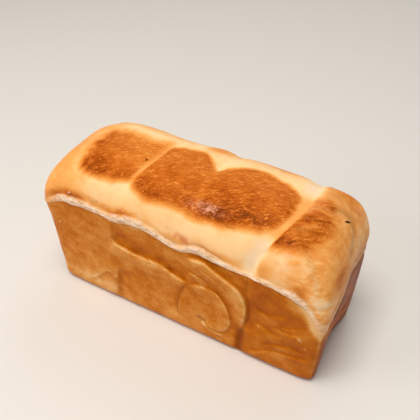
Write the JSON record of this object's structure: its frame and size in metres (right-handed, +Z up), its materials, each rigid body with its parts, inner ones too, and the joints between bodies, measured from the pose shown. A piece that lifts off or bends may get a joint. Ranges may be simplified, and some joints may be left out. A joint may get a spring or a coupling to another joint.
{
  "type": "tin loaf of bread",
  "caption": "Uncut white tin loaf with straight tinned walls, a pale torn strand at the rim and a domed top of joined, browned lumps; rests on its flat foot",
  "frame": {"origin": "centre of the flat foot, which rests on Z = 0", "axes": "+X along the loaf's length, +Y across its width away from the side shown, +Z up"},
  "size_m": [0.2534, 0.0994, 0.1401],
  "materials": {
    "crust": null
  },
  "bodies": {
    "root": {"loaf": "crust"}
  },
  "joints": []
}
